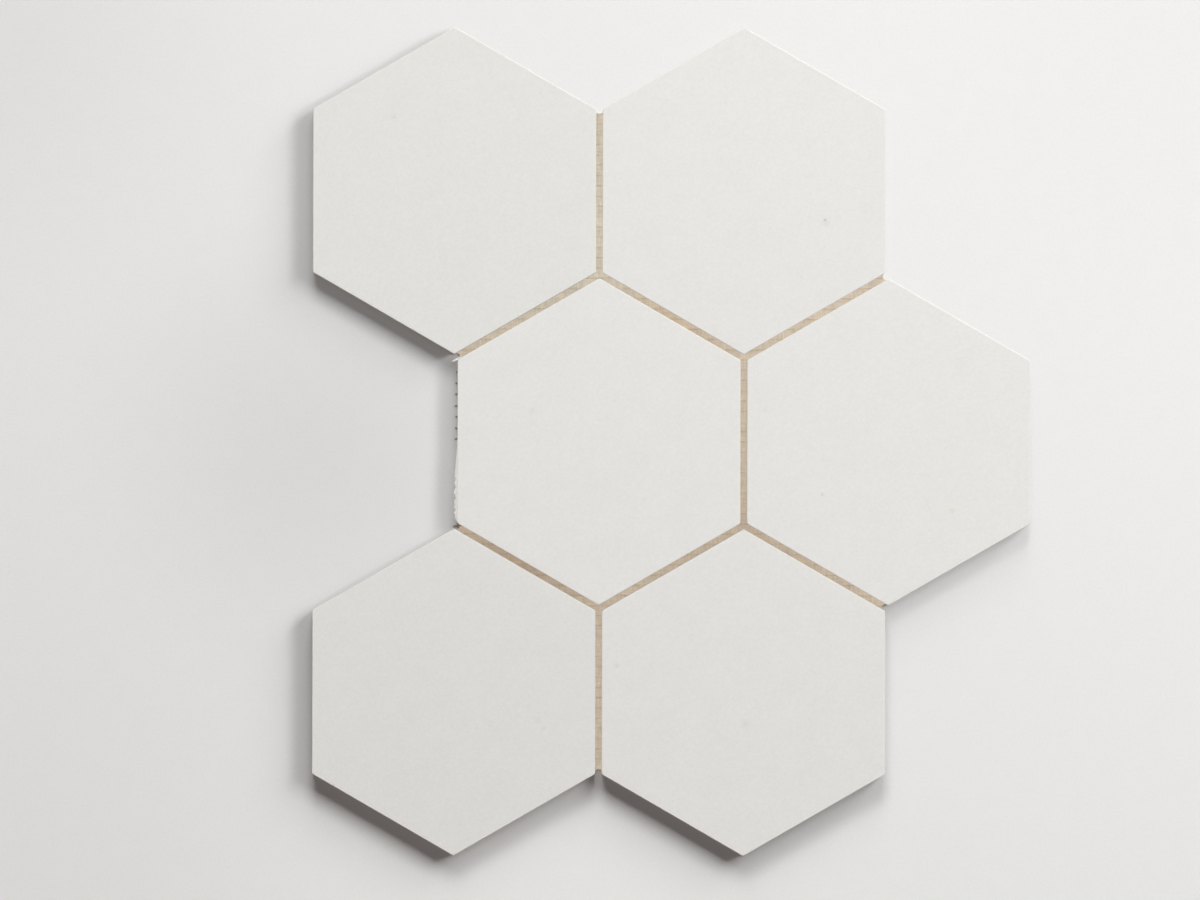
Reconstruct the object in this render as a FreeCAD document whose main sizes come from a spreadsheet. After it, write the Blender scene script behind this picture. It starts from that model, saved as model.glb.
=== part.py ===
import FreeCAD, Part
import math
import os

import Sketcher

# Sheet of six hexagon floor tiles of honed white stone, laid two by two by two and held
# together from behind by a resin-bonded mesh. The tiles stand with a corner up, so their rows
# interlock. Lengths are in millimetres. The origin is at the middle of the sheet, on the
# underside of the mesh: +X runs along a row, +Y up the sheet and +Z out of the tile faces.

doc = FreeCAD.newDocument("HexagonTileSheet")

# Driving sizes
driving = {
    "tile_flats": 100.0,
    "tile_thickness": 10.0,
    "tile_arris": 0.5,
    "face_corner_radius": 0.3,
    "joint_width": 2.3,
    "mesh_inset": 0.8,
    "film_thickness": 0.35,
    "bed_height": 0.25,
    "bed_inset": 0.4,
    "yarn_width": 0.4,
    "yarn_height": 0.2,
    "weft_pitch": 3.625,
    "warp_pitch": 3.25,
}

# Sizes that follow from them: the pitch of the tiles along a row, the distance between rows,
# the heights of the layers, how far the mesh stays inside the pitch lines, the mesh's own size
# and the odd numbers of yarns that it holds, so that one of each kind runs through the middle
derived = {
    "tile_pitch": "=tile_flats + joint_width",
    "row_spacing": "=tile_pitch * sqrt(3) / 2",
    "side_corner_radius": "=face_corner_radius + tile_arris",
    "film_top": "=yarn_height + film_thickness",
    "back_height": "=film_top + bed_height",
    "outline_inset": "=joint_width / 2 + mesh_inset",
    "mesh_width": "=2.5 * tile_pitch - 2 * outline_inset",
    "mesh_length": "=2 * row_spacing + 2 * (tile_pitch - 2 * outline_inset) / sqrt(3)",
    "blank_width": "=mesh_width + 2 * joint_width",
    "blank_length": "=mesh_length + 2 * joint_width",
    "weft_count": "=2 * floor((mesh_length / weft_pitch - 1) / 2) + 1",
    "warp_count": "=2 * floor((mesh_width / warp_pitch - 1) / 2) + 1",
}

sheet = doc.addObject("Spreadsheet::Sheet", "Sizes")
for row, (name, value) in enumerate((driving | derived).items(), start=1):
    sheet.set(f"A{row}", name)
    sheet.set(f"B{row}", str(value))
    sheet.setAlias(f"B{row}", name)
doc.recompute()

# The places of the tiles, in pitches along a row and in rows from the middle of the sheet
tile_places = {
    "tile_top_left": (-0.75, 1),
    "tile_top_right": (0.25, 1),
    "tile_middle_left": (-0.25, 0),
    "tile_middle_right": (0.75, 0),
    "tile_bottom_left": (-0.75, -1),
    "tile_bottom_right": (0.25, -1),
}


def value_of(expression):
    """Return what an expression on the sizes comes to."""
    return float(sheet.evalExpression(expression))


def origin_feature(body, role):
    """Return a body's own origin plane or axis."""
    return next(feature for feature in body.Origin.OriginFeatures if feature.Role == role)


def new_sketch(body, name, height="0"):
    """Start a sketch on the body's XY plane, raised to a height."""
    sketch = body.newObject("Sketcher::SketchObject", name)
    sketch.AttachmentSupport = [(origin_feature(body, "XY_Plane"), "")]
    sketch.MapMode = "FlatFace"
    sketch.setExpression("AttachmentOffset.Base.z", height)
    return sketch


def bind(sketch, kind, *geometry, to):
    """Add a dimension to a sketch and tie it to an expression on the sizes."""
    index = sketch.addConstraint(Sketcher.Constraint(kind, *geometry, value_of(to)))
    sketch.setExpression(f"Constraints[{index}]", to)


def draw_loop(sketch, corners):
    """Draw lines from corner to corner and back to the first one."""
    lines = []
    for start, end in zip(corners, corners[1:] + corners[:1]):
        lines.append(sketch.addGeometry(Part.LineSegment(start, end), False))
    for line, following in zip(lines, lines[1:] + lines[:1]):
        sketch.addConstraint(Sketcher.Constraint("Coincident", line, 2, following, 1))
    return lines


def draw_hexagon(sketch, centre_x, centre_y, across_flats):
    """Draw a hexagon with a corner up, from expressions for its centre and its width."""
    reach = value_of(across_flats) / math.sqrt(3)
    middle = FreeCAD.Vector(value_of(centre_x), value_of(centre_y), 0)
    corners = []
    for side in range(6):
        angle = math.radians(90 - 60 * side)
        corners.append(middle + FreeCAD.Vector(math.cos(angle), math.sin(angle), 0) * reach)
    lines = draw_loop(sketch, corners)
    right_side, left_side = lines[1], lines[4]
    sketch.addConstraint(Sketcher.Constraint("Vertical", right_side))
    sketch.addConstraint(Sketcher.Constraint("Vertical", left_side))
    for line in lines[1:5]:
        sketch.addConstraint(Sketcher.Constraint("Equal", lines[0], line))
    bind(sketch, "DistanceX", left_side, 1, right_side, 1, to=across_flats)
    bind(sketch, "DistanceX", lines[0], 1, to=centre_x)
    bind(sketch, "DistanceY", lines[0], 1, to=f"{centre_y} + ({across_flats}) / sqrt(3)")


def draw_rectangle(sketch, middle_x, middle_y, width, length):
    """Draw an upright rectangle, from expressions for its middle and its sides."""
    left, bottom = f"{middle_x} - ({width}) / 2", f"{middle_y} - ({length}) / 2"
    start = FreeCAD.Vector(value_of(left), value_of(bottom), 0)
    across, up = FreeCAD.Vector(value_of(width), 0, 0), FreeCAD.Vector(0, value_of(length), 0)
    lines = draw_loop(sketch, [start, start + across, start + across + up, start + up])
    for line, direction in zip(lines, ("Horizontal", "Vertical", "Horizontal", "Vertical")):
        sketch.addConstraint(Sketcher.Constraint(direction, line))
    bind(sketch, "DistanceX", lines[0], 1, to=left)
    bind(sketch, "DistanceY", lines[0], 1, to=bottom)
    bind(sketch, "DistanceX", lines[0], 1, lines[0], 2, to=width)
    bind(sketch, "DistanceY", lines[1], 1, lines[1], 2, to=length)


def add_pad(body, name, sketch, height):
    """Raise a sketch into a solid."""
    pad = body.newObject("PartDesign::Pad", name)
    pad.Profile = sketch
    pad.setExpression("Length", height)
    sketch.Visibility = False
    return pad


def make_tile(label, along_row, rows_up):
    """Make one tile, with its corners eased and a small arris round its face."""
    body = doc.addObject("PartDesign::Body", label)
    outline = new_sketch(body, "TileOutline")
    draw_hexagon(outline, "0", "0", "Sizes.tile_flats")
    slab = add_pad(body, "TileSlab", outline, "Sizes.tile_thickness")
    doc.recompute()

    corner_edges = []
    for number, edge in enumerate(slab.Shape.Edges, start=1):
        if abs(edge.tangentAt(edge.FirstParameter).z) > 0.9:
            corner_edges.append(f"Edge{number}")
    corners = body.newObject("PartDesign::Fillet", "TileCorners")
    corners.Base = (slab, corner_edges)
    corners.setExpression("Radius", "Sizes.side_corner_radius")
    doc.recompute()

    face_height = corners.Shape.BoundBox.ZMax
    face_edges = []
    for number, edge in enumerate(corners.Shape.Edges, start=1):
        if edge.BoundBox.ZMin > face_height - 1e-6:
            face_edges.append(f"Edge{number}")
    arris = body.newObject("PartDesign::Chamfer", "TileArris")
    arris.Base = (corners, face_edges)
    arris.setExpression("Size", "Sizes.tile_arris")

    body.setExpression("Placement.Base.x", f"{along_row} * Sizes.tile_pitch")
    body.setExpression("Placement.Base.y", f"{rows_up} * Sizes.row_spacing")
    body.setExpression("Placement.Base.z", "Sizes.back_height")
    return body


def draw_sheet_outline(sketch):
    """Draw the edge that the mesh is trimmed to: round the tiles, a little inside their edge.

    It goes clockwise from the lower left corner of the top left tile. The corners of the tiles
    point out, and the notches between two tiles point in.
    """
    corner_kinds = ["out", "out", "in"] * 4 + ["out", "out", "out", "in", "in", "out"]
    side = "Sizes.tile_pitch / sqrt(3)"
    shift = "Sizes.outline_inset / sqrt(3)"
    start_x = "Sizes.outline_inset - 1.25 * Sizes.tile_pitch"
    start_y = f"Sizes.row_spacing - {side} / 2 + {shift}"

    corners = [FreeCAD.Vector(value_of(start_x), value_of(start_y), 0)]
    directions = []
    lengths = []
    direction = 90
    for index, kind in enumerate(corner_kinds):
        inward_ends = (corner_kinds[index - 1] == "in") + (kind == "in")
        lengths.append(f"{side} + {2 * inward_ends - 2} * {shift}")
        directions.append(math.radians(direction))
        step = FreeCAD.Vector(math.cos(directions[-1]), math.sin(directions[-1]), 0)
        corners.append(corners[-1] + step * value_of(lengths[-1]))
        direction += 60 if kind == "in" else -60

    lines = draw_loop(sketch, corners[:-1])
    bind(sketch, "DistanceX", lines[0], 1, to=start_x)
    bind(sketch, "DistanceY", lines[0], 1, to=start_y)
    for line, angle in zip(lines, directions):
        sketch.addConstraint(Sketcher.Constraint("Angle", line, angle))
    # The last two lengths follow from the others, because the outline closes
    for line, length in list(zip(lines, lengths))[:-2]:
        bind(sketch, "Distance", line, to=length)


def lay_yarns(body, name, sketch, axis, count, pitch):
    """Raise the sketch of the first yarn and repeat it across the sheet at an even pitch."""
    yarn = add_pad(body, f"{name}Yarn", sketch, "Sizes.yarn_height")
    row = body.newObject("PartDesign::LinearPattern", f"{name}Row")
    row.Originals = [yarn]
    row.Direction = (origin_feature(body, axis), [""])
    row.setExpression("Occurrences", count)
    row.setExpression("Length", f"({count} - 1) * {pitch}")
    body.Tip = row


def make_mesh_backing(label):
    """Make the mesh: a resin film with warp yarns under it and weft yarns and beds on it.

    The warp yarns run up the sheet on the underside. The weft yarns run across it on the upper
    side and show in the joints, because a bed of resin covers them under each tile.
    """
    body = doc.addObject("PartDesign::Body", label)

    blank = new_sketch(body, "FilmBlank", "Sizes.yarn_height")
    draw_rectangle(blank, "0", "0", "Sizes.blank_width", "Sizes.blank_length")
    add_pad(body, "Film", blank, "Sizes.film_thickness")

    beds = new_sketch(body, "BedOutlines", "Sizes.film_top")
    for along_row, rows_up in tile_places.values():
        draw_hexagon(beds, f"{along_row} * Sizes.tile_pitch", f"{rows_up} * Sizes.row_spacing",
                     "Sizes.tile_flats - 2 * Sizes.bed_inset")
    add_pad(body, "Beds", beds, "Sizes.bed_height")

    first_warp = new_sketch(body, "FirstWarp")
    draw_rectangle(first_warp, "-(Sizes.warp_count - 1) / 2 * Sizes.warp_pitch", "0",
                   "Sizes.yarn_width", "Sizes.blank_length")
    lay_yarns(body, "Warp", first_warp, "X_Axis", "Sizes.warp_count", "Sizes.warp_pitch")

    first_weft = new_sketch(body, "FirstWeft", "Sizes.film_top")
    draw_rectangle(first_weft, "0", "-(Sizes.weft_count - 1) / 2 * Sizes.weft_pitch",
                   "Sizes.blank_width", "Sizes.yarn_width")
    lay_yarns(body, "Weft", first_weft, "Y_Axis", "Sizes.weft_count", "Sizes.weft_pitch")

    waste = new_sketch(body, "WasteOutline")
    draw_rectangle(waste, "0", "0", "Sizes.blank_width + 2 * Sizes.joint_width",
                   "Sizes.blank_length + 2 * Sizes.joint_width")
    draw_sheet_outline(waste)
    trim = body.newObject("PartDesign::Pocket", "Trim")
    trim.Profile = waste
    trim.Type = "ThroughAll"
    trim.Reversed = True
    return body


pieces = [make_tile(label, *place) for label, place in tile_places.items()]
pieces.append(make_mesh_backing("mesh_backing"))
doc.recompute()

for feature in doc.Objects:
    if "Invalid" in feature.State or "Error" in feature.State:
        raise RuntimeError(f"{feature.Label} failed: {feature.State}")
for piece in pieces:
    if piece.Shape.isNull() or not piece.Shape.isValid() or len(piece.Shape.Solids) != 1:
        raise RuntimeError(f"{piece.Label} is not one sound solid")

os.makedirs("parts", exist_ok=True)
for piece in pieces:
    piece.Shape.exportStep(f"parts/{piece.Label}.step")
    print(piece.Label, round(piece.Shape.Volume, 1), piece.Shape.BoundBox)
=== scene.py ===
import math
import random

import bmesh
import bpy
from mathutils import Matrix, Vector, noise
from mathutils.bvhtree import BVHTree


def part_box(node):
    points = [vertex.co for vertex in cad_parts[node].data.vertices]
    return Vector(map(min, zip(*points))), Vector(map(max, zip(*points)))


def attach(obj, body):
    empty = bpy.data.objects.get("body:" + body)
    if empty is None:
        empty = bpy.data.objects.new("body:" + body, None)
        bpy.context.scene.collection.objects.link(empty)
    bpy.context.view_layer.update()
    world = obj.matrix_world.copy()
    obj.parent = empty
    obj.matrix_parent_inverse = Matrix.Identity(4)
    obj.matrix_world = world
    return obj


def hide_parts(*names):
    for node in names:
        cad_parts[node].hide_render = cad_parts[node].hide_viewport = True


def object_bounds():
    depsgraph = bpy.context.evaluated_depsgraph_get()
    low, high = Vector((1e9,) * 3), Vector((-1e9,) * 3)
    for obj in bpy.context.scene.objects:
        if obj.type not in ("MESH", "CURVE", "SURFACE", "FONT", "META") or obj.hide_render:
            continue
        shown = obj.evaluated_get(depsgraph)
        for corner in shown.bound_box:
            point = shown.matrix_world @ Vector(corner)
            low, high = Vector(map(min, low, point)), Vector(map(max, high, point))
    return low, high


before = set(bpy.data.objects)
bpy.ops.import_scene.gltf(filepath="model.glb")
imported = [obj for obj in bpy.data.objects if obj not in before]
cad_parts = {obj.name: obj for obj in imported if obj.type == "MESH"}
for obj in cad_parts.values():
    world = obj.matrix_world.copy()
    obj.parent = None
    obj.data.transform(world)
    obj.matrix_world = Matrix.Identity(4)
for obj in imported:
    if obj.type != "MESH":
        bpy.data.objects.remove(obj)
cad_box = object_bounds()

# Resin backing
# A skin of beige resin is cast over a glass mesh, with a thin raised bed under each tile.
# It is trimmed a little short of the tiles and shows as a flat strip in every joint, where
# the dark lines are the cross yarns seen through it.
millimetre = 0.001
weft_pitch = 3.625 * millimetre
warp_pitch = 3.25 * millimetre
film_underside = 0.2 * millimetre
film_middle = 0.375 * millimetre
film_cut_height = film_underside + 0.02 * millimetre
weft_line_half_width = 0.17 * millimetre
resin_colour = (0.70, 0.60, 0.465, 1.0)
weft_line_colour = (0.36, 0.28, 0.20, 1.0)
# These patches give the resin's own hues and painted shade, darker towards the foot and along the
# lamps.
# centre and reach in millimetres, colour
resin_hues_and_painted_shade = [
    ((-36.0, 78.0), 66.0, (0.75, 0.69, 0.56, 1.0)),
    ((68.0, 30.0), 66.0, (0.80, 0.69, 0.545, 1.0)),
    ((2.0, 46.0), 26.0, (0.70, 0.575, 0.42, 1.0)),
    ((27.0, -52.0), 52.0, (0.62, 0.505, 0.375, 1.0)),
    ((-54.0, -44.3), 46.0, (0.52, 0.41, 0.295, 1.0)),
]


def place(tree, kind, options=None, inputs=None):
    """Add a shader node, set its options, and fill its inputs with numbers or sockets."""
    step = tree.nodes.new(kind)
    for option, choice in (options or {}).items():
        setattr(step, option, choice)
    for key, value in (inputs or {}).items():
        if isinstance(value, bpy.types.NodeSocket):
            tree.links.new(value, step.inputs[key])
        else:
            step.inputs[key].default_value = value
    return step


def start_group(name, takes, gives):
    """Begin a shader node group with named inputs and outputs."""
    group = bpy.data.node_groups.new(name, "ShaderNodeTree")
    for label, kind in takes:
        group.interface.new_socket(label, in_out="INPUT", socket_type=kind)
    for label, kind in gives:
        group.interface.new_socket(label, in_out="OUTPUT", socket_type=kind)
    return group, group.nodes.new("NodeGroupInput"), group.nodes.new("NodeGroupOutput")


def make_soft_patch():
    """A rounded, slightly ragged patch on the face, for stains, specks, tinted areas and painted
    shade.
    """
    group, given, result = start_group(
        "soft patch",
        [
            ("Place", "NodeSocketVector"),
            ("Centre", "NodeSocketVector"),
            ("Reach", "NodeSocketFloat"),
            ("Ragged", "NodeSocketFloat"),
            ("Ripple", "NodeSocketFloat"),
        ],
        [("Mask", "NodeSocketFloat")],
    )
    out_from = place(group, "ShaderNodeVectorMath", {"operation": "SUBTRACT"},
                     {0: given.outputs["Place"], 1: given.outputs["Centre"]})
    flat = place(group, "ShaderNodeVectorMath", {"operation": "MULTIPLY"},
                 {0: out_from.outputs[0], 1: (1.0, 1.0, 0.0)})
    distance = place(group, "ShaderNodeVectorMath", {"operation": "LENGTH"}, {0: flat.outputs[0]})
    ripple = place(group, "ShaderNodeTexNoise", {},
                   {"Vector": given.outputs["Place"], "Scale": given.outputs["Ripple"],
                    "Detail": 2.0})
    centred = place(group, "ShaderNodeMath", {"operation": "SUBTRACT"},
                    {0: ripple.outputs[0], 1: 0.5})
    shift = place(group, "ShaderNodeMath", {"operation": "MULTIPLY"},
                  {0: centred.outputs[0], 1: given.outputs["Ragged"]})
    moved = place(group, "ShaderNodeMath", {"operation": "ADD"},
                  {0: distance.outputs["Value"], 1: shift.outputs[0]})
    mask = place(group, "ShaderNodeMapRange", {"interpolation_type": "SMOOTHSTEP"},
                 {"Value": moved.outputs[0], "From Min": given.outputs["Reach"], "From Max": 0.0,
                  "To Min": 0.0, "To Max": 1.0})
    group.links.new(mask.outputs[0], result.inputs["Mask"])
    return group


def make_fine_grain():
    """Grain at two sizes: fine sugar-like crystals and slow clouding over centimetres."""
    group, given, result = start_group(
        "fine grain",
        [
            ("Place", "NodeSocketVector"),
            ("Seed", "NodeSocketFloat"),
            ("Crystals", "NodeSocketFloat"),
            ("Clouds", "NodeSocketFloat"),
        ],
        [("Grain", "NodeSocketFloat"), ("Cloud", "NodeSocketFloat")],
    )
    crystals = place(group, "ShaderNodeTexNoise", {"noise_dimensions": "4D"},
                     {"Vector": given.outputs["Place"], "W": given.outputs["Seed"],
                      "Scale": given.outputs["Crystals"], "Detail": 3.0, "Roughness": 0.6})
    clouds = place(group, "ShaderNodeTexNoise", {"noise_dimensions": "4D"},
                   {"Vector": given.outputs["Place"], "W": given.outputs["Seed"],
                    "Scale": given.outputs["Clouds"], "Detail": 3.0, "Roughness": 0.55})
    group.links.new(crystals.outputs[0], result.inputs["Grain"])
    group.links.new(clouds.outputs[0], result.inputs["Cloud"])
    return group


soft_patch = make_soft_patch()
fine_grain = make_fine_grain()


def use_group(tree, group, inputs):
    """Place a node group in a material."""
    return place(tree, "ShaderNodeGroup", {"node_tree": group}, inputs)


def vary(tree, colour, amount, swing):
    """Lighten and darken a colour by a value that runs from 0 to 1."""
    factor = place(tree, "ShaderNodeMapRange", {},
                   {"Value": amount, "From Min": 0.2, "From Max": 0.8,
                    "To Min": 1.0 - swing, "To Max": 1.0 + swing})
    return place(tree, "ShaderNodeVectorMath", {"operation": "SCALE"},
                 {0: colour, "Scale": factor.outputs[0]}).outputs[0]


def blend_colour(tree, below, above, mask):
    """Lay one colour over another by a mask."""
    mix = place(tree, "ShaderNodeMix", {"data_type": "RGBA"}, {0: mask, 6: below, 7: above})
    return mix.outputs[2]


def plain_colour(tree, colour):
    """A single colour as a socket, for the first layer of a material."""
    swatch = place(tree, "ShaderNodeRGB")
    swatch.outputs[0].default_value = colour
    return swatch.outputs[0]


def start_material(name, roughness, shine):
    """Begin a material, and give back its tree, its shader and the place on the object."""
    material = bpy.data.materials.new(name)
    material.use_nodes = True
    tree = material.node_tree
    shader = tree.nodes["Principled BSDF"]
    shader.inputs["Roughness"].default_value = roughness
    shader.inputs["Specular IOR Level"].default_value = shine
    where = tree.nodes.new("ShaderNodeTexCoord").outputs["Object"]
    return material, tree, shader, where


def cast_resin():
    """Beige resin, warmer or greyer from joint to joint and with painted shade in the lower joints
    and in those along the lamps, the cross yarns showing through.
    """
    material, tree, shader, where = start_material("cast resin", 0.55, 0.3)
    parts = place(tree, "ShaderNodeSeparateXYZ", {}, {0: where})
    grain = use_group(tree, fine_grain, {"Place": where, "Seed": 3.0,
                                         "Crystals": 900.0, "Clouds": 160.0})
    colour = plain_colour(tree, resin_colour)
    upper_side = place(tree, "ShaderNodeMapRange", {"interpolation_type": "SMOOTHSTEP"},
                       {"Value": parts.outputs["Z"], "From Min": 0.3 * millimetre,
                        "From Max": 0.5 * millimetre, "To Min": 0.0, "To Max": 1.0})
    # Painted shade: the tints darken the lower joints and those that lie along the lamps.
    for (across, up), reach, tint in resin_hues_and_painted_shade:
        patch = use_group(tree, soft_patch, {
            "Place": where, "Centre": (across * millimetre, up * millimetre, 0.0),
            "Reach": reach * millimetre, "Ragged": 0.01, "Ripple": 60.0})
        above = place(tree, "ShaderNodeMath", {"operation": "MULTIPLY"},
                      {0: patch.outputs[0], 1: upper_side.outputs[0]})
        colour = blend_colour(tree, colour, tint, above.outputs[0])
    colour = vary(tree, colour, grain.outputs["Cloud"], 0.10)
    colour = vary(tree, colour, grain.outputs["Grain"], 0.04)
    drawn_out = place(tree, "ShaderNodeMapping", {"vector_type": "POINT"},
                      {"Vector": where, "Scale": (260.0, 1700.0, 100.0)})
    fibres = place(tree, "ShaderNodeTexNoise", {},
                   {"Vector": drawn_out.outputs[0], "Scale": 1.0, "Detail": 3.0})
    colour = vary(tree, colour, fibres.outputs[0], 0.12)
    drawn_up = place(tree, "ShaderNodeMapping", {"vector_type": "POINT"},
                     {"Vector": where, "Scale": (1500.0, 240.0, 100.0)})
    upright_fibres = place(tree, "ShaderNodeTexNoise", {},
                           {"Vector": drawn_up.outputs[0], "Scale": 1.0, "Detail": 3.0})
    colour = vary(tree, colour, upright_fibres.outputs[0], 0.15)

    waver = place(tree, "ShaderNodeTexNoise", {}, {"Vector": where, "Scale": 350.0, "Detail": 2.0})
    wander = place(tree, "ShaderNodeMath", {"operation": "MULTIPLY_ADD"},
                   {0: waver.outputs[0], 1: 0.25 * millimetre, 2: -0.125 * millimetre})
    wavy = place(tree, "ShaderNodeMath", {"operation": "ADD"},
                 {0: parts.outputs["Y"], 1: wander.outputs[0]})
    off_yarn = place(tree, "ShaderNodeMath", {"operation": "PINGPONG"},
                     {0: wavy.outputs[0], 1: weft_pitch / 2})
    line = place(tree, "ShaderNodeMapRange", {"interpolation_type": "SMOOTHSTEP"},
                 {"Value": off_yarn.outputs[0], "From Min": weft_line_half_width * 1.4,
                  "From Max": weft_line_half_width * 0.6, "To Min": 0.0, "To Max": 1.0})
    patchy = place(tree, "ShaderNodeMapRange", {},
                   {"Value": waver.outputs[0], "From Min": 0.35, "From Max": 0.65,
                    "To Min": 0.08, "To Max": 0.42})
    seen = place(tree, "ShaderNodeMath", {"operation": "MULTIPLY"},
                 {0: line.outputs[0], 1: patchy.outputs[0]})
    colour = blend_colour(tree, colour, weft_line_colour, seen.outputs[0])
    tree.links.new(colour, shader.inputs["Base Color"])

    lumps = place(tree, "ShaderNodeMath", {"operation": "MULTIPLY_ADD"},
                  {0: grain.outputs["Grain"], 1: 0.4, 2: grain.outputs["Cloud"]})
    bump = place(tree, "ShaderNodeBump", {}, {"Strength": 0.5, "Distance": 0.0002,
                                              "Height": lumps.outputs[0]})
    tree.links.new(bump.outputs[0], shader.inputs["Normal"])
    return material


def add_piece(name, source, material, stands_for=()):
    """Make a finished bmesh or mesh a piece of the sheet."""
    if isinstance(source, bmesh.types.BMesh):
        mesh = bpy.data.meshes.new(name)
        source.to_mesh(mesh)
        source.free()
    else:
        mesh = source
    piece = bpy.data.objects.new(name, mesh)
    bpy.context.scene.collection.objects.link(piece)
    mesh.materials.clear()
    mesh.materials.append(material)
    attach(piece, "root")
    for node in stands_for:
        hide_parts(node)
    return piece


backing = bmesh.new()
backing.from_mesh(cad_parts["mesh_backing"].data)
bmesh.ops.remove_doubles(backing, verts=backing.verts, dist=1e-6)
outline_search = BVHTree.FromBMesh(backing)
bmesh.ops.bisect_plane(
    backing,
    geom=backing.verts[:] + backing.edges[:] + backing.faces[:],
    plane_co=(0.0, 0.0, film_cut_height),
    plane_no=(0.0, 0.0, 1.0),
    clear_inner=True,
)
open_edges = [edge for edge in backing.edges if edge.is_boundary]
bmesh.ops.holes_fill(backing, edges=open_edges, sides=0)
bmesh.ops.recalc_face_normals(backing, faces=backing.faces)
resin_film = add_piece("resin_film", backing, cast_resin(), ["mesh_backing"])

# Woven glass mesh
# The mesh under the film is plain-woven glass yarn, dipped in the same resin, with the warp
# running up the sheet and the weft across it. The yarns were cut with the film, so their ends
# are a little uneven.
yarn_half = 0.24 * millimetre
yarn_flatness = 0.34
yarn_height = 0.115 * millimetre
yarn_weave = 0.03 * millimetre
hair = 1e-6
warp_count = 77
weft_count = 81
shortest_yarn = 4 * millimetre
clear_of_end = 0.4 * millimetre
cut_range_mm = (-0.1, 0.35)
well_outside = 0.3
dipped_yarn_colour = (0.72, 0.66, 0.55, 1.0)


def spans_along(start, direction):
    """The stretches of a straight line that lie inside the backing."""
    crossings = []
    reach = 0.0
    while True:
        hit, _, _, step = outline_search.ray_cast(start + direction * reach, direction)
        if hit is None:
            break
        reach += step
        crossings.append(reach)
        reach += hair
    return list(zip(crossings[0::2], crossings[1::2]))


def dipped_yarn():
    """Pale resin-coated glass, with a fine grain."""
    material, tree, shader, where = start_material("dipped glass yarn", 0.5, 0.4)
    grain = use_group(tree, fine_grain, {"Place": where, "Seed": 8.0,
                                         "Crystals": 2200.0, "Clouds": 140.0})
    colour = plain_colour(tree, dipped_yarn_colour)
    colour = vary(tree, colour, grain.outputs["Cloud"], 0.12)
    colour = vary(tree, colour, grain.outputs["Grain"], 0.10)
    tree.links.new(colour, shader.inputs["Base Color"])
    bump = place(tree, "ShaderNodeBump", {}, {"Strength": 0.6, "Distance": 0.0001,
                                              "Height": grain.outputs["Grain"]})
    tree.links.new(bump.outputs[0], shader.inputs["Normal"])
    return material


def weave_yarns(name, count, pitch, direction, cross_pitch, first_lift):
    """Lay parallel yarns over and under the yarns that cross them, and cut them to the film."""
    cutting = random.Random(name)
    sideways = Vector((direction.y, direction.x, 0.0))
    strands = bpy.data.curves.new(name, "CURVE")
    strands.dimensions = "3D"
    strands.twist_mode = "Z_UP"
    strands.bevel_depth = yarn_half
    strands.bevel_resolution = 0
    strands.use_fill_caps = True
    for number in range(-(count // 2), count // 2 + 1):
        start = sideways * (number * pitch) - direction * well_outside
        start.z = film_middle
        for enter, leave in spans_along(start, direction):
            low = enter - well_outside - cutting.uniform(*cut_range_mm) * millimetre
            high = leave - well_outside + cutting.uniform(*cut_range_mm) * millimetre
            if high - low < shortest_yarn:
                continue
            first = math.ceil((low + clear_of_end) / cross_pitch)
            last = math.floor((high - clear_of_end) / cross_pitch)
            stops = [low] + [k * cross_pitch for k in range(first, last + 1)] + [high]
            spline = strands.splines.new("POLY")
            spline.points.add(len(stops) - 1)
            for index, stop in enumerate(stops):
                crossing = min(max(index - 1 + first, first), last)
                lift = yarn_weave if (crossing + number + first_lift) % 2 else -yarn_weave
                spot = sideways * (number * pitch) + direction * stop
                spot.z = (yarn_height + lift) / yarn_flatness
                spline.points[index].co = (*spot, 1.0)
    strand_object = bpy.data.objects.new(name, strands)
    mesh = bpy.data.meshes.new_from_object(strand_object)
    bpy.data.objects.remove(strand_object)
    mesh.transform(Matrix.Diagonal((1.0, 1.0, yarn_flatness, 1.0)))
    mesh.name = name
    return mesh


yarn_finish = dipped_yarn()
warp_mesh = weave_yarns("warp_yarns", warp_count, warp_pitch, Vector((0.0, 1.0, 0.0)),
                        weft_pitch, 0)
warp_yarns = add_piece("warp_yarns", warp_mesh, yarn_finish, ["mesh_backing"])
weft_mesh = weave_yarns("weft_yarns", weft_count, weft_pitch, Vector((1.0, 0.0, 0.0)),
                        warp_pitch, 1)
weft_yarns = add_piece("weft_yarns", weft_mesh, yarn_finish, ["mesh_backing"])

# Stone tiles
# Six hexagons are sawn from fine-grained white stone. Their sides are left as sawn, the
# faces are honed matt and the top edge has a small ground arris with the odd tiny chip.
# Each is pressed face up on the wet resin, which creeps a little up its sides.
arris = 0.24 * millimetre
corner_radius = 0.8 * millimetre
chip_spacing = 0.8 * millimetre
edge_border = 0.25 * millimetre
shortest_side = 20 * millimetre
worn_band = 1.1 * arris
worn_top = 0.6 * arris
# depths in millimetres, waves for each millimetre of the edge
wear_depth, wear_waves = 0.035, 1.7
chip_depth, chip_waves, chip_rarity = 0.55, 0.42, 0.52
drop_with_wear = 0.3
resin_smear_colour = (0.66, 0.58, 0.46, 1.0)


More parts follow.
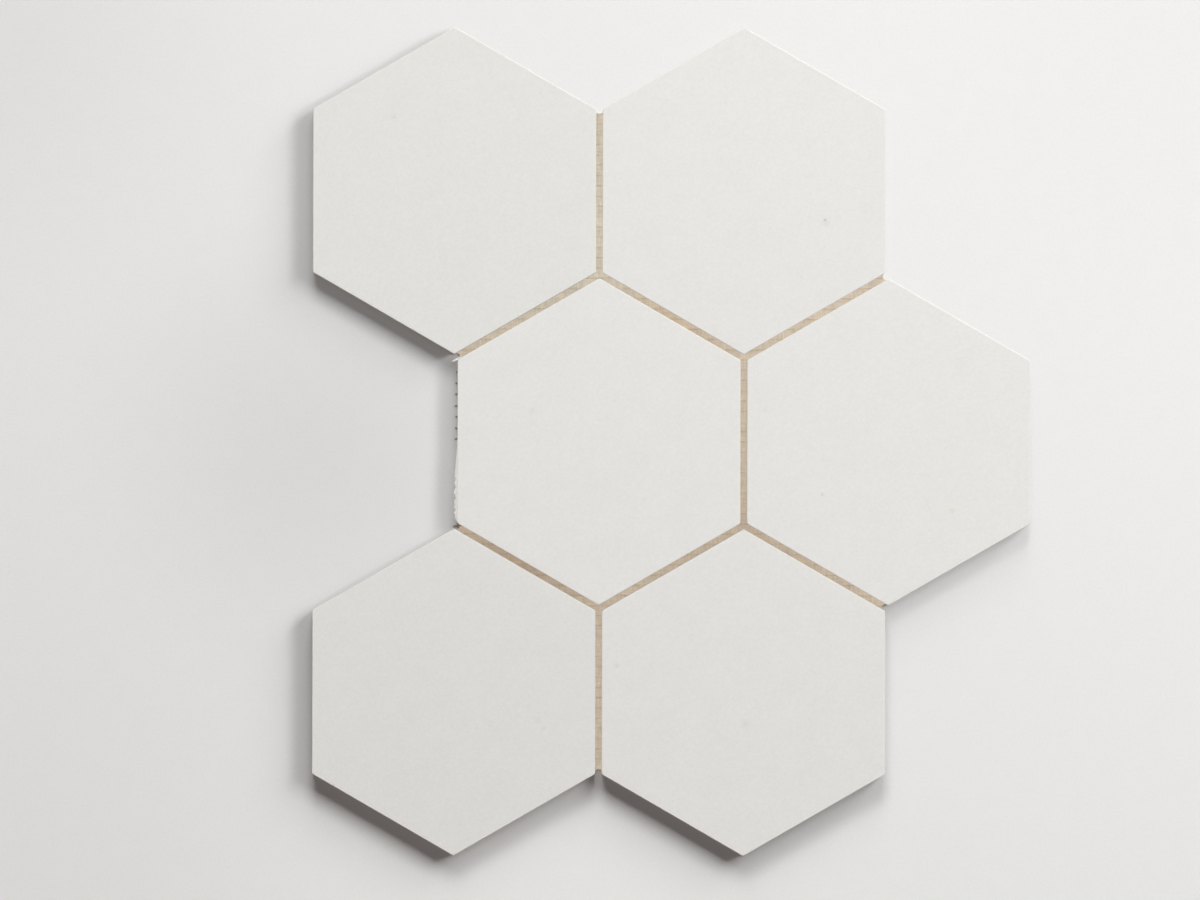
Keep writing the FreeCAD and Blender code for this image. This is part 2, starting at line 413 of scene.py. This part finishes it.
def honed_stone(name, tone, seed, marks):
    """Honed white stone, its tone partly painted shade, with faint clouding, its marks and painted
    chip shade, and resin round its foot.
    """
    material, tree, shader, where = start_material(name, 0.5, 0.3)
    grain = use_group(tree, fine_grain, {"Place": where, "Seed": seed,
                                         "Crystals": 1150.0, "Clouds": 90.0})
    colour = plain_colour(tree, (*tone, 1.0))
    colour = vary(tree, colour, grain.outputs["Grain"], 0.046)
    colour = vary(tree, colour, grain.outputs["Cloud"], 0.014)
    for (across, up), reach, ragged, strength, stain_and_chip_shade in marks:
        patch = use_group(tree, soft_patch, {
            "Place": where, "Centre": (across * millimetre, up * millimetre, 0.0),
            "Reach": reach * millimetre, "Ragged": ragged * millimetre, "Ripple": 900.0})
        mask = place(tree, "ShaderNodeMath", {"operation": "MULTIPLY"},
                     {0: patch.outputs[0], 1: strength})
        colour = blend_colour(tree, colour, stain_and_chip_shade, mask.outputs[0])

    height = place(tree, "ShaderNodeSeparateXYZ", {}, {0: where}).outputs["Z"]
    creep = place(tree, "ShaderNodeMath", {"operation": "MULTIPLY_ADD"},
                  {0: grain.outputs["Cloud"], 1: -3.0 * millimetre, 2: height})
    smear = place(tree, "ShaderNodeMapRange", {"interpolation_type": "SMOOTHSTEP"},
                  {"Value": creep.outputs[0], "From Min": 0.7 * millimetre,
                   "From Max": 0.1 * millimetre, "To Min": 0.0, "To Max": 0.9})
    colour = blend_colour(tree, colour, resin_smear_colour, smear.outputs[0])
    tree.links.new(colour, shader.inputs["Base Color"])

    level_lines = place(tree, "ShaderNodeMapping", {"vector_type": "POINT"},
                        {"Vector": where, "Scale": (60.0, 60.0, 2600.0)})
    sawn = place(tree, "ShaderNodeTexNoise", {}, {"Vector": level_lines.outputs[0], "Scale": 1.0,
                                                  "Detail": 2.0})
    facing = place(tree, "ShaderNodeNewGeometry").outputs["True Normal"]
    upward = place(tree, "ShaderNodeSeparateXYZ", {}, {0: facing}).outputs["Z"]
    sideways = place(tree, "ShaderNodeMapRange", {},
                     {"Value": upward, "From Min": 0.2, "From Max": 0.0,
                      "To Min": 0.0, "To Max": 1.0})
    saw_height = place(tree, "ShaderNodeMath", {"operation": "MULTIPLY"},
                       {0: sawn.outputs[0], 1: sideways.outputs[0]})
    relief = place(tree, "ShaderNodeMath", {"operation": "MULTIPLY_ADD"},
                   {0: grain.outputs["Grain"], 1: 0.5, 2: saw_height.outputs[0]})
    bump = place(tree, "ShaderNodeBump", {}, {"Strength": 0.35, "Distance": 0.00012,
                                              "Height": relief.outputs[0]})
    tree.links.new(bump.outputs[0], shader.inputs["Normal"])
    rough = place(tree, "ShaderNodeMapRange", {},
                  {"Value": grain.outputs["Grain"], "From Min": 0.3, "From Max": 0.7,
                   "To Min": 0.46, "To Max": 0.60})
    tree.links.new(rough.outputs[0], shader.inputs["Roughness"])
    return material


def settle_order(bm):
    """Number vertices and faces by where they lie, so that each run writes the same mesh."""
    for elements, lies_at in [(bm.verts, lambda v: tuple(v.co)),
                              (bm.faces, lambda f: tuple(f.calc_center_median()))]:
        ranks = {element: rank for rank, element in enumerate(sorted(elements, key=lies_at))}
        elements.sort(key=ranks.get)


def cut_tile(low, high, seed):
    """Saw one hexagon to size, ease its corners, grind the arris and knock tiny chips in it."""
    middle = (low + high) / 2
    flat_to_flat = high.x - low.x
    thickness = high.z - low.z
    bm = bmesh.new()
    bmesh.ops.create_cone(
        bm, cap_ends=True, cap_tris=False, segments=6,
        radius1=flat_to_flat / math.sqrt(3), radius2=flat_to_flat / math.sqrt(3),
        depth=thickness, matrix=Matrix.Translation(middle),
    )
    uprights = [e for e in bm.edges if abs(e.verts[0].co.z - e.verts[1].co.z) > thickness / 2]
    bmesh.ops.bevel(bm, geom=uprights, offset=corner_radius * math.tan(math.radians(30)),
                    offset_type="OFFSET", affect="EDGES", segments=4, profile=0.5, material=-1)
    rim = [e for e in bm.edges if min(v.co.z for v in e.verts) > high.z - hair]
    bmesh.ops.bevel(bm, geom=rim, offset=arris, offset_type="OFFSET", affect="EDGES",
                    segments=3, profile=0.5, material=-1)
    face = max(bm.faces, key=lambda f: f.calc_area() * f.normal.z)
    bmesh.ops.inset_region(bm, faces=[face], thickness=edge_border)
    long_edges = [e for e in bm.edges
                  if e.calc_length() > shortest_side
                  and abs(e.verts[0].co.z - e.verts[1].co.z) < hair]
    cuts = round(flat_to_flat / math.sqrt(3) / chip_spacing)
    bmesh.ops.subdivide_edges(bm, edges=long_edges, cuts=cuts, use_grid_fill=True)
    broad_faces = [f for f in bm.faces if len(f.verts) > 4]
    bmesh.ops.poke(bm, faces=broad_faces)

    inner_line = flat_to_flat / 2 - worn_band
    walls = [Vector((math.cos(math.radians(60 * k)), math.sin(math.radians(60 * k)), 0.0))
             for k in range(6)]
    drift = Vector((seed * 3.7, seed * 1.3, 0.0))
    for vertex in bm.verts:
        if vertex.co.z < high.z - arris - hair:
            continue
        out = vertex.co - middle
        wall = max(walls, key=lambda w: out.dot(w))
        if out.dot(wall) < inner_line:
            continue
        spot = vertex.co / millimetre
        spot.z = 0.0
        chipped = max(0.0, noise.noise(spot * chip_waves + drift) - chip_rarity)
        worn = noise.noise(spot * wear_waves - drift) + 1.0
        wear = wear_depth * worn + chip_depth * chipped
        vertex.co -= wall * wear * millimetre
        if vertex.co.z > high.z - worn_top:
            vertex.co.z -= drop_with_wear * wear * millimetre
    settle_order(bm)
    return bm


pinhole = (0.30, 0.29, 0.22, 1.0)
smudge_and_chip_shade = (0.52, 0.52, 0.50, 1.0)
rust = (0.74, 0.62, 0.48, 1.0)
# Each tone is partly the stone's own and partly painted shade, darker on the two left tiles, where
# the light falls off.
# name, tone, seed, then marks: centre and reach in millimetres, raggedness, strength, colour
tiles = [
    ("top_left", (0.808, 0.811, 0.777), 1.0, [
        ((-98.1, 114.5), 1.4, 0.8, 0.35, rust),
    ]),
    ("top_right", (0.832, 0.826, 0.798), 2.0, [
        ((54.1, 78.4), 0.8, 0.5, 0.45, pinhole),
        ((54.3, 77.6), 2.4, 2.2, 0.16, smudge_and_chip_shade),
    ]),
    ("middle_left", (0.840, 0.833, 0.805), 3.0, [
        ((-23.1, 8.4), 1.6, 1.0, 0.18, rust),
        ((-9.6, -20.7), 1.6, 1.0, 0.18, rust),
        ((-49.3, 10.8), 1.8, 1.0, 0.15, smudge_and_chip_shade),
    ]),
    ("middle_right", (0.840, 0.833, 0.805), 4.0, [
        ((53.4, -18.5), 1.0, 0.6, 0.40, smudge_and_chip_shade),
        ((99.1, -24.2), 1.6, 2.0, 0.3, rust),
        ((33.2, 11.2), 1.5, 1.0, 0.25, rust),
    ]),
    ("bottom_left", (0.812, 0.806, 0.778), 5.0, [
        ((-46.9, -98.4), 1.9, 2.0, 0.16, smudge_and_chip_shade),
        ((-45.0, -101.4), 1.7, 2.0, 0.12, smudge_and_chip_shade),
        # Painted shade: these two spots stand for the shade in tiny chips at the lower edges.
        ((-119.0, -121.6), 0.9, 0.5, 0.5, smudge_and_chip_shade),
        ((-29.8, -119.1), 0.9, 0.5, 0.4, smudge_and_chip_shade),
    ]),
    ("bottom_right", (0.830, 0.823, 0.795), 6.0, [
        ((-19.2, -79.1), 1.5, 1.0, 0.40, rust),
        ((26.1, -99.6), 2.4, 2.4, 0.18, smudge_and_chip_shade),
    ]),
]
tile_pieces = []
for label, tone, seed, marks in tiles:
    node = "tile_" + label
    low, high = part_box(node)
    stone = honed_stone("honed_stone_" + label, tone, seed, marks)
    tile = add_piece("honed_tile_" + label, cut_tile(low, high, seed), stone,
                     [node])
    tile.visible_diffuse = False
    tile_pieces.append(tile)

# Torn edge
# Where the sheet was parted from its neighbour, a ragged crust of white tile glue is left on
# the side of the left tile, and the cut weft yarns stand a little proud of its foot.
tile_low, tile_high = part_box("tile_middle_left")
wall_x = tile_low.x
glue_colour = (0.80, 0.79, 0.76, 1.0)
frayed_colour = (0.30, 0.26, 0.22, 1.0)
crust_top, crust_bottom = 0.6 * millimetre, -28.4 * millimetre
crust_key = 0.55 * millimetre
crust_proud = 0.95 * millimetre
crust_cuts_along = 79
crust_cuts_up = 15
crust_cuts_through = 2
crust_margin = 0.1 * millimetre
# waves for each millimetre, and share of the thickness
crust_lumps = [(0.9, 0.25), (1.3, 0.60)]
# shares of the crust's length and of its full thickness
swell_start, swell_length, taper_length = 0.10, 0.34, 0.05
thin_share, end_share, lean_share = 0.15, 0.2, 0.2
# millimetres
ragged_head, sloped_head, ragged_foot = 0.10, 0.2, 0.3
flap_size = (3.4 * millimetre, 0.7 * millimetre, 1.8 * millimetre)
flap_cuts = 5
flap_taper, flap_ripple, flap_crumple = 0.24, 0.5, 0.3
flap_turn = math.radians(30)
flap_out, flap_up, flap_down = 0.25 * millimetre, 0.2 * millimetre, 1.35 * millimetre
stub_radius = 0.22 * millimetre
stub_root = 1.4 * millimetre
stub_height = 0.45 * millimetre
stub_middle_height = 0.42 * millimetre
stub_tip_mm = 0.34
# place up the side and length
stubs_mm = [(24.6, 0.5), (20.7, 0.8), (16.75, 0.9), (12.7, 1.0),
            (8.8, 0.8), (4.7, 0.9), (0.95, 1.1), (-29.9, 1.5)]


def dried_glue():
    """White cement glue, chalky and lumpy."""
    material, tree, shader, where = start_material("dried tile glue", 0.75, 0.2)
    grain = use_group(tree, fine_grain, {"Place": where, "Seed": 11.0,
                                         "Crystals": 1200.0, "Clouds": 260.0})
    colour = plain_colour(tree, glue_colour)
    colour = vary(tree, colour, grain.outputs["Cloud"], 0.05)
    tree.links.new(colour, shader.inputs["Base Color"])
    bump = place(tree, "ShaderNodeBump", {}, {"Strength": 0.6, "Distance": 0.0003,
                                              "Height": grain.outputs["Cloud"]})
    tree.links.new(bump.outputs[0], shader.inputs["Normal"])
    return material


def glue_crust():
    """A strip of glue on the tile's side, thicker lower down, and a loose flap at the corner."""
    foot, head = tile_low.z + crust_margin, tile_high.z - crust_margin
    inner_x = wall_x + crust_key
    bm = bmesh.new()
    size = Vector((crust_key + crust_proud, crust_top - crust_bottom, head - foot))
    centre = Vector((inner_x - size.x / 2, (crust_top + crust_bottom) / 2, (foot + head) / 2))
    bmesh.ops.create_cube(bm, size=1.0)
    bmesh.ops.scale(bm, verts=bm.verts, vec=size)
    bmesh.ops.translate(bm, verts=bm.verts, vec=centre)
    along = [e for e in bm.edges if abs(e.verts[0].co.y - e.verts[1].co.y) > size.y / 2]
    bmesh.ops.subdivide_edges(bm, edges=along, cuts=crust_cuts_along, use_grid_fill=True)
    upright = [e for e in bm.edges if abs(e.verts[0].co.z - e.verts[1].co.z) > size.z / 2]
    bmesh.ops.subdivide_edges(bm, edges=upright, cuts=crust_cuts_up, use_grid_fill=True)
    level = [e for e in bm.edges if abs(e.verts[0].co.x - e.verts[1].co.x) > size.x / 2]
    bmesh.ops.subdivide_edges(bm, edges=level, cuts=crust_cuts_through, use_grid_fill=True)
    for vertex in bm.verts:
        depth = (inner_x - vertex.co.x) / size.x
        down = (crust_top - vertex.co.y) / size.y
        rise = (vertex.co.z - foot) / size.z
        spot = vertex.co / millimetre
        lump = sum(noise.noise(spot * waves) * share for waves, share in crust_lumps)
        swell = min(1.0, max(0.0, (down - swell_start) / swell_length))
        taper = min(1.0, (1.0 - down) / taper_length + end_share)
        growth = thin_share + (1.0 - thin_share) * swell
        growth *= taper * (1.0 - lean_share + lean_share * rise)
        if depth > 0.0:
            proud = max(0.05, growth * (0.92 + lump)) * crust_proud
            vertex.co.x = inner_x - depth * (crust_key + proud)
        if vertex.co.z > head - hair:
            ragged = noise.noise(spot * 1.3) * ragged_head
            vertex.co.z += (ragged - sloped_head * depth * depth) * millimetre
        if vertex.co.z < foot + hair:
            vertex.co.z += abs(noise.noise(spot * 1.1)) * ragged_foot * millimetre

    flap = bmesh.new()
    bmesh.ops.create_cube(flap, size=1.0)
    bmesh.ops.subdivide_edges(flap, edges=flap.edges, cuts=flap_cuts, use_grid_fill=True)
    bmesh.ops.scale(flap, verts=flap.verts, vec=flap_size)
    for vertex in flap.verts:
        spot = vertex.co / millimetre
        vertex.co.y *= 1.0 - flap_taper * abs(spot.x) + flap_ripple * noise.noise(spot * 1.4)
        vertex.co.z *= 1.0 + flap_crumple * noise.noise(spot * 1.1)
    bmesh.ops.rotate(flap, verts=flap.verts, cent=(0.0, 0.0, 0.0),
                     matrix=Matrix.Rotation(flap_turn, 3, "Z"))
    corner_y = (tile_high.x - tile_low.x) / 2 / math.sqrt(3)
    bmesh.ops.translate(flap, verts=flap.verts, vec=(
        wall_x - flap_out, corner_y + flap_up, tile_high.z - flap_down))
    flap_mesh = bpy.data.meshes.new("glue_flap")
    flap.to_mesh(flap_mesh)
    flap.free()
    bm.from_mesh(flap_mesh)
    bpy.data.meshes.remove(flap_mesh)
    bmesh.ops.recalc_face_normals(bm, faces=bm.faces)
    return bm


def cut_yarn_ends():
    """Short stubs of weft yarn, sticking out from under the tile's edge."""
    ends = bpy.data.curves.new("cut_weft_ends", "CURVE")
    ends.dimensions = "3D"
    ends.twist_mode = "Z_UP"
    ends.bevel_depth = stub_radius
    ends.bevel_resolution = 1
    ends.use_fill_caps = True
    for row, (up, length) in enumerate(stubs_mm):
        spline = ends.splines.new("POLY")
        spline.points.add(3)
        tip = wall_x - length * millimetre
        tip_height = (stub_tip_mm + 0.05 * (row % 3)) * millimetre
        swing = 0.12 * (row % 3 - 1) * millimetre
        stops = [(wall_x + stub_root, 0.0, stub_height),
                 (wall_x, 0.0, stub_height),
                 ((wall_x + tip) / 2, swing * 0.4, stub_middle_height),
                 (tip, swing, tip_height)]
        for point, (x, y, z) in zip(spline.points, stops):
            point.co = (x, up * millimetre + y, z, 1.0)
    end_object = bpy.data.objects.new("cut_weft_ends", ends)
    mesh = bpy.data.meshes.new_from_object(end_object)
    bpy.data.objects.remove(end_object)
    mesh.name = "cut_weft_ends"
    return mesh


def frayed_yarn():
    """Cut yarn ends, coloured dark brown."""
    material, tree, shader, where = start_material("frayed yarn ends", 0.7, 0.2)
    grain = use_group(tree, fine_grain, {"Place": where, "Seed": 14.0,
                                         "Crystals": 2500.0, "Clouds": 600.0})
    colour = plain_colour(tree, frayed_colour)
    colour = vary(tree, colour, grain.outputs["Cloud"], 0.2)
    tree.links.new(colour, shader.inputs["Base Color"])
    return material


glue = add_piece("glue_crust", glue_crust(), dried_glue())
glue.visible_diffuse = False
add_piece("cut_weft_ends", cut_yarn_ends(), frayed_yarn())

# Floor
# The sheet lies flat on a pale floor whose colour carries painted light and shade: painted a
# little lighter to the right and at the foot, and painted darker in the notch and towards the
# upper corners. It is darker under the lamps as well, so that the light on it looks even.
floor_size = 6.0
floor_left_colour = (0.875, 0.875, 0.862, 1.0)
floor_right_colour = (0.895, 0.899, 0.887, 1.0)
# centre, reach, colour
floor_light_and_shade_patches = [
    ((-0.125, 0.0), 0.10, (0.79, 0.79, 0.78, 1.0)),
    ((-0.25, 0.16), 0.13, (0.81, 0.81, 0.80, 1.0)),
    ((0.20, 0.18), 0.16, (0.86, 0.86, 0.848, 1.0)),
    ((-0.05, -0.20), 0.17, (0.93, 0.924, 0.91, 1.0)),
    ((0.75, 1.10), 1.08, (0.57, 0.57, 0.56, 1.0)),
    ((0.58, 0.90), 0.82, (0.52, 0.52, 0.51, 1.0)),
]


def pale_floor():
    """Matt pale grey with soft patches of painted light and shade and a fine grain."""
    material, tree, shader, where = start_material("pale floor", 0.8, 0.1)
    parts = place(tree, "ShaderNodeSeparateXYZ", {}, {0: where})
    # Painted light: the floor is lighter towards the right.
    across = place(tree, "ShaderNodeMapRange", {"clamp": True},
                   {"Value": parts.outputs["X"], "From Min": -0.2, "From Max": 0.12,
                    "To Min": 0.0, "To Max": 1.0})
    colour = blend_colour(tree, floor_left_colour, floor_right_colour, across.outputs[0])
    # The patches paint light and shade on the floor.
    for (x, y), reach, shade_there in floor_light_and_shade_patches:
        patch = use_group(tree, soft_patch, {"Place": where, "Centre": (x, y, 0.0),
                                             "Reach": reach, "Ragged": 0.0, "Ripple": 1.0})
        colour = blend_colour(tree, colour, shade_there, patch.outputs[0])
    grain = use_group(tree, fine_grain, {"Place": where, "Seed": 21.0,
                                         "Crystals": 1150.0, "Clouds": 120.0})
    colour = vary(tree, colour, grain.outputs["Grain"], 0.035)
    colour = vary(tree, colour, grain.outputs["Cloud"], 0.008)
    tree.links.new(colour, shader.inputs["Base Color"])
    return material


floor_grid = bmesh.new()
bmesh.ops.create_grid(floor_grid, x_segments=1, y_segments=1, size=floor_size / 2)
floor_mesh = bpy.data.meshes.new("floor")
floor_grid.to_mesh(floor_mesh)
floor_grid.free()
floor_mesh.materials.append(pale_floor())
floor = bpy.data.objects.new("floor", floor_mesh)
bpy.context.scene.collection.objects.link(floor)

# Lamps
# Strip lamps stand in a row off the upper right corner, with wing lamps further back for the
# faint wide ends of the shadows, and each lists the tiles that throw no shadow in its light.
# A low lamp on the other side warms the shadows, and the backing has a lamp of its own.
lamp_bearing = math.radians(57)
strip_place = (1.65, 1.0)
strip_width = 0.8
wing_place = (1.3, 1.9)
wing_width = 1.2
edge_place = (0.26, -2.2)
edge_width = 0.5
edge_watts = 25.0
edge_lamp_colour = (1.0, 0.83, 0.79)
backing_place = (1.65, 0.96)
backing_width = 0.65
backing_watts = 46.0
whole_row = (-2.2, 2.2)
# name, height and distance, start and end to the left, width, watts, tiles without a shadow
key_lamps = [
    ("strip lamp far left", strip_place, (0.78, 1.2), strip_width, 10.4,
     ["top_right", "middle_right"]),
    ("strip lamp left", strip_place, (0.33, 0.73), strip_width, 7.1, ["top_right"]),
    ("strip lamp right", strip_place, (-0.55, -0.25), strip_width, 5.9, ["top_right"]),
    ("strip lamp far right", strip_place, (-0.85, -0.6), strip_width, 8.6, ["top_right"]),
    ("wing lamp left", wing_place, (0.7, 1.5), wing_width, 10.5, ["top_right", "top_left"]),
    ("wing lamp right", wing_place, (-0.8, -0.25), wing_width, 12.5,
     ["top_right", "middle_left"]),
    ("wing lamp far right", wing_place, (-1.9, -1.1), wing_width, 6.0,
     ["top_right", "middle_left"]),
]


def area_lamp(name, stand, reach, width, watts):
    """A long lamp, square to its bearing and tilted at the middle of the sheet."""
    height, distance = stand
    start, end = reach
    data = bpy.data.lights.new(name, "AREA")
    data.shape = "RECTANGLE"
    data.size = end - start
    data.size_y = width
    data.energy = watts
    lamp = bpy.data.objects.new(name, data)
    bpy.context.scene.collection.objects.link(lamp)
    spot = Vector((distance * math.cos(lamp_bearing), distance * math.sin(lamp_bearing), height))
    back = spot.normalized()
    along = Vector((-math.sin(lamp_bearing), math.cos(lamp_bearing), 0.0))
    lamp.location = spot + along * (start + end) / 2
    lamp.rotation_euler = Matrix((along, back.cross(along), back)).transposed().to_euler()
    lamp.visible_camera = False
    return lamp


def only_these(name, pieces, state="INCLUDE"):
    """A set of pieces that a lamp takes in or leaves out."""
    chosen = bpy.data.collections.new(name)
    for piece in pieces:
        chosen.objects.link(piece)
    for entry in chosen.collection_objects:
        entry.light_linking.link_state = state
    return chosen


backing_pieces = [resin_film, warp_yarns, weft_yarns]
all_but_backing = only_these("all but the backing", backing_pieces, "EXCLUDE")
tile_by_name = dict(zip([row[0] for row in tiles], tile_pieces))
for name, stand, reach, width, watts, labels in key_lamps:
    lamp = area_lamp(name, stand, reach, width, watts)
    no_casters = [tile_by_name[label] for label in labels]
    if "middle_left" in labels:
        no_casters.append(glue)
    lamp.light_linking.receiver_collection = all_but_backing
    lamp.light_linking.blocker_collection = only_these(
        "no shadow from " + name, no_casters, "EXCLUDE")

edge_lamp = area_lamp("edge lamp", edge_place, whole_row, edge_width, edge_watts)
edge_lamp.data.color = edge_lamp_colour
edge_lamp.light_linking.blocker_collection = only_these("floor only", [floor])
backing_lamp = area_lamp("backing lamp", backing_place, whole_row, backing_width, backing_watts)
backing_lamp.light_linking.receiver_collection = only_these("backing", backing_pieces)
backing_lamp.light_linking.blocker_collection = only_these("backing alone", backing_pieces)

# Fill and backdrop
# An even dim light from all round fills the shadows. The camera and the shine on the surfaces
# see a brighter plain backdrop in its place.
fill_colour = (1.0, 0.94, 0.93, 1.0)
fill_strength = 0.088
backdrop_colour = (0.72, 0.71, 0.70, 1.0)
world = bpy.data.worlds.new("soft fill")
bpy.context.scene.world = world
world.use_nodes = True
fill = world.node_tree.nodes["Background"]
fill.inputs["Color"].default_value = fill_colour
fill.inputs["Strength"].default_value = fill_strength
rays = place(world.node_tree, "ShaderNodeLightPath")
seen_or_glossy = place(world.node_tree, "ShaderNodeMath", {"operation": "MAXIMUM"},
                       {0: rays.outputs["Is Camera Ray"], 1: rays.outputs["Is Glossy Ray"]})
backdrop = place(world.node_tree, "ShaderNodeBackground", {},
                 {"Color": backdrop_colour, "Strength": 1.0})
choose = place(world.node_tree, "ShaderNodeMixShader", {},
               {0: seen_or_glossy.outputs[0], 1: fill.outputs[0], 2: backdrop.outputs[0]})
world.node_tree.links.new(choose.outputs[0], world.node_tree.nodes["World Output"].inputs[0])

# Camera
# The picture is taken from straight above and from far off, so that hardly any upright side
# shows. It is a little off the middle of the sheet and turned by a tenth of a degree.
tile_top = cad_box[1][2]
camera_height = 4.0
camera_place = (-0.02519, -0.00297)
camera_turn = math.radians(0.1)
picture_width = 0.4238
camera_data = bpy.data.cameras.new("camera")
camera_data.sensor_width = 36.0
camera_data.lens = camera_data.sensor_width * camera_height / picture_width
camera = bpy.data.objects.new("camera", camera_data)
camera.location = (*camera_place, tile_top + camera_height)
camera.rotation_euler = (0.0, 0.0, camera_turn)
bpy.context.scene.collection.objects.link(camera)
bpy.context.scene.camera = camera
bpy.context.scene.view_settings.view_transform = "Standard"
